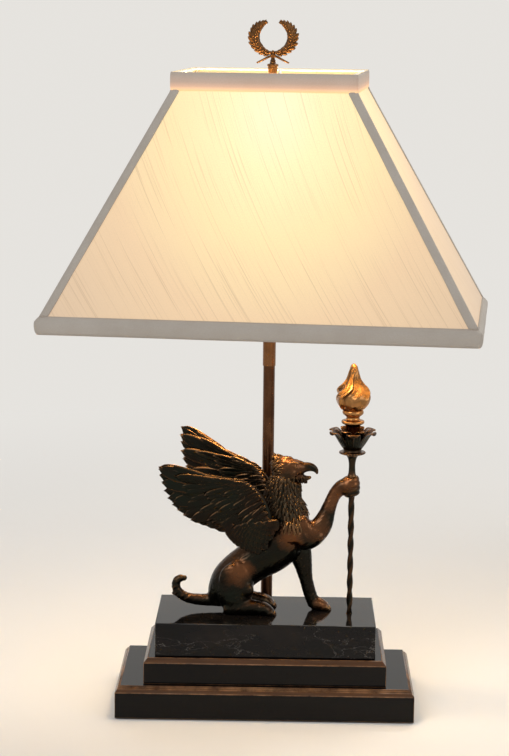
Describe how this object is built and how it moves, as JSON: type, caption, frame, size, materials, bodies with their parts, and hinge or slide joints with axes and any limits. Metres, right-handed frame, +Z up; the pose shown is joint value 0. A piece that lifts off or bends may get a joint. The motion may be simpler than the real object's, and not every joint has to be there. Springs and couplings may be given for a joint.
{
  "type": "table lamp",
  "caption": "Table lamp: a griffin figure with a torch on a stepped stone and wood base, brass pole, harp and rectangular fabric shade with a wreath finial.",
  "frame": {"origin": "on the pole's axis at table level, which is the bottom centre of the bounding box", "axes": "+Z up along the pole, +X the way the griffin faces, -Y the front"},
  "size_m": [0.487, 0.2996, 0.7411],
  "materials": {
    "felt": "matt",
    "ebonised_wood": "gloss",
    "marble": "polished",
    "steel": "zinc plated",
    "rubber": "matt",
    "pole_brass": "antique",
    "bronze": "patinated",
    "flame_brass": "polished",
    "harp_brass": "satin",
    "socket_brass": "satin",
    "insulating_paper": "matt",
    "moulded_black": "moulded",
    "bulb_metal": "satin",
    "bulb_glass": "frosted",
    "silk": "slub silk",
    "lining": "matt",
    "frame_wire": "painted",
    "trim_tape": "matt",
    "finial_brass": "antique"
  },
  "bodies": {
    "base": {"felt_pad": "felt", "plinth": "ebonised_wood", "riser": "ebonised_wood", "marble_block": "marble", "tier_screws": "steel", "figure_bolts": "steel", "cord_grommet": "rubber", "lamp_pipe": "steel", "pipe_washer": "steel", "spring_washer": "steel", "pipe_nut": "steel", "pole": "pole_brass", "neck_sleeve": "pole_brass", "griffin_body": "bronze", "near_wing": "bronze", "far_wing": "bronze", "torch_stem": "bronze", "torch_collar": "bronze", "torch_cup": "bronze", "torch_flame": "flame_brass", "harp_saddle": "harp_brass", "harp": "harp_brass", "harp_stud": "harp_brass", "socket_cap": "socket_brass", "socket_shell": "socket_brass", "insulating_sleeve": "insulating_paper", "socket_core": "moulded_black", "terminal_screws": "socket_brass", "thread_shell": "socket_brass", "centre_contact": "socket_brass"},
    "left_ferrule": {"left_ferrule": "harp_brass"},
    "right_ferrule": {"right_ferrule": "harp_brass"},
    "switch": {"switch_key": "moulded_black"},
    "bulb": {"bulb_base": "bulb_metal", "bulb_contact": "bulb_metal", "bulb_glass": "bulb_glass", "bulb_mount": "bulb_glass"},
    "shade": {"shade_cover": "silk", "shade_lining": "lining", "shade_fitter": "frame_wire", "shade_frame": "frame_wire", "top_trim": "trim_tape", "bottom_trim": "trim_tape", "corner_trims": "trim_tape"},
    "finial": {"finial_nut": "finial_brass", "wreath": "finial_brass"}
  },
  "joints": [
    {"name": "left_ferrule_slide", "type": "slide", "parent": "base", "child": "left_ferrule", "axis": [0, 0, 1], "range_m": [0, 0.012]},
    {"name": "right_ferrule_slide", "type": "slide", "parent": "base", "child": "right_ferrule", "axis": [0, 0, 1], "range_m": [0, 0.012]},
    {"name": "switch_turn", "type": "hinge", "parent": "base", "child": "switch", "pos_m": [0, -0.02, 0.474], "axis": [0, -1, 0], "continuous": true},
    {"name": "bulb_turn", "type": "hinge", "parent": "base", "child": "bulb", "pos_m": [0, 0, 0.5], "axis": [0, 0, 1], "continuous": true},
    {"name": "shade_turn", "type": "hinge", "parent": "base", "child": "shade", "pos_m": [0, 0, 0.673], "axis": [0, 0, 1], "continuous": true},
    {"name": "finial_turn", "type": "hinge", "parent": "base", "child": "finial", "pos_m": [0, 0, 0.68], "axis": [0, 0, 1], "continuous": true}
  ]
}
